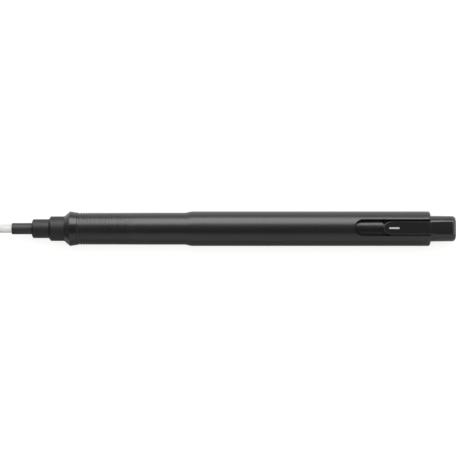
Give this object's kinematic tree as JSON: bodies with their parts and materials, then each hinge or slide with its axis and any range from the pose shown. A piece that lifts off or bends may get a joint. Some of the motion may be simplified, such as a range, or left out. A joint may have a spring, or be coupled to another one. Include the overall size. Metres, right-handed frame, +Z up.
{
  "type": "click eraser pen",
  "caption": "Slim click-action eraser pen with a stepped tip, ribbed grip, slotted rear barrel and push button that feeds a round eraser core.",
  "frame": {"origin": "under the middle of the pen's length, on the plane that the pen lies on", "axes": "+X along the pen from the eraser tip to the push button, +Z up out of the barrel's slot"},
  "size_m": [0.1374, 0.0104, 0.0104],
  "materials": {
    "barrel_plastic": "satin black moulded ABS",
    "nose_plastic": "satin black moulded ABS, a little duller than the barrel",
    "sleeve_metal": "black-coated thin brass tube",
    "brake_rubber": "soft matt rubber",
    "seal_rubber": "soft matt rubber",
    "brass": "turned brass",
    "steel": "drawn and pressed spring steel",
    "natural_plastic": "natural white acetal",
    "carrier_plastic": "smooth black extruded tube",
    "button_plastic": "satin black moulded ABS",
    "mark_plastic": "pale grey-white inlay",
    "eraser_vinyl": "white vinyl eraser"
  },
  "bodies": {
    "barrel_unit": {"barrel": "barrel_plastic", "chuck_bush": "brass", "spring_washer": "steel", "return_spring": "steel"},
    "pusher": {"push_button": "button_plastic", "index_mark": "mark_plastic", "carrier_tube": "carrier_plastic", "centring_ring": "natural_plastic", "guide_tube": "natural_plastic", "chuck_coupling": "natural_plastic", "chuck": "brass"},
    "clutch": {"clutch_ring": "brass"},
    "core": {"eraser_core": "eraser_vinyl"},
    "seal": {"nose_seal": "seal_rubber"},
    "nose": {"nose_cone": "nose_plastic", "tip_sleeve": "sleeve_metal", "core_brake": "brake_rubber"}
  },
  "joints": [
    {"name": "button_press", "type": "slide", "parent": "barrel_unit", "child": "pusher", "axis": [-1, 0, 0], "range_m": [0, 0.007], "stiffness_N_per_m": 450, "springref_m": -0.005, "deforming": ["return_spring"]},
    {"name": "ring_slide", "type": "slide", "parent": "barrel_unit", "child": "clutch", "axis": [-1, 0, 0], "range_m": [0, 0.002]},
    {"name": "core_feed", "type": "slide", "parent": "barrel_unit", "child": "core", "axis": [-1, 0, 0], "range_m": [-0.004, 0.012]},
    {"name": "nose_draw", "type": "slide", "parent": "barrel_unit", "child": "seal", "axis": [-1, 0, 0], "range_m": [0, 0.006]},
    {"name": "nose_turn", "type": "hinge", "parent": "seal", "child": "nose", "pos_m": [0, 0, 0.0052], "axis": [-1, 0, 0], "range_deg": [0, 2881]}
  ],
  "couplings": [
    {"joint": "ring_slide", "follows": "button_press", "ratio": 0.28571},
    {"joint": "nose_turn", "follows": "nose_draw", "rad_per_m": 8377.6}
  ]
}
